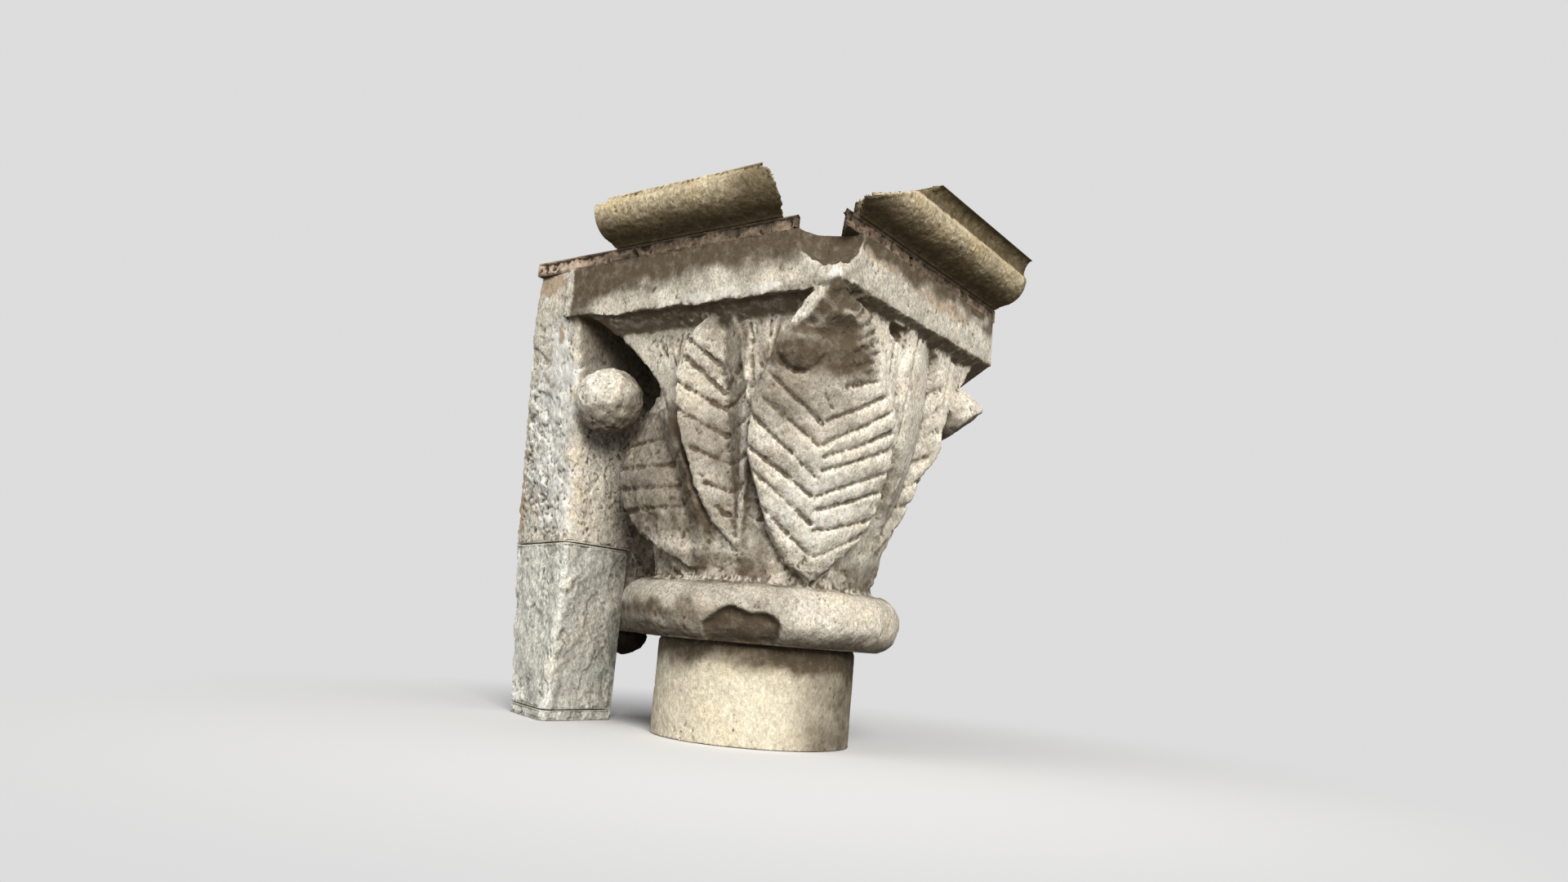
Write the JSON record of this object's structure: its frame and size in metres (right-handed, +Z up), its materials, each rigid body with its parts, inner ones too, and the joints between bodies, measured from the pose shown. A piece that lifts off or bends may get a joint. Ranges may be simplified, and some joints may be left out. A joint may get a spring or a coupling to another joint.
{
  "type": "medieval column capital",
  "caption": "Carved stone nook-shaft capital with ribbed pointed leaves, corner balls and a neck ring, on a shaft stub beside its jamb stones, with a worn moulding above.",
  "frame": {"origin": "centre of the shaft stub's flat underside", "axes": "+Z up along the shaft; the capital's left face looks along -Y, its right face along +X, and its flat back along +Y"},
  "size_m": [0.438, 0.309, 0.4598],
  "materials": {
    "capital_stone": "weathered, pitted limestone",
    "jamb_stone": "weathered, rough grey stone",
    "jamb_foot_stone": "weathered, rough grey stone",
    "shaft_stub": "smooth cream stone with dark specks",
    "mortar_bed": "crumbly pinkish-brown mortar",
    "impost_left": "stained olive-brown stone, worn pale on the roll",
    "impost_right": "stained olive-brown stone, worn pale on the roll",
    "joint_packing": "dark rough packing mortar"
  },
  "bodies": {
    "root": {"capital_stone": "capital_stone", "jamb_stone": "jamb_stone", "jamb_foot_stone": "jamb_foot_stone", "shaft_stub": "shaft_stub", "mortar_bed": "mortar_bed", "impost_left": "impost_left", "impost_right": "impost_right", "joint_packing": "joint_packing"}
  },
  "joints": []
}
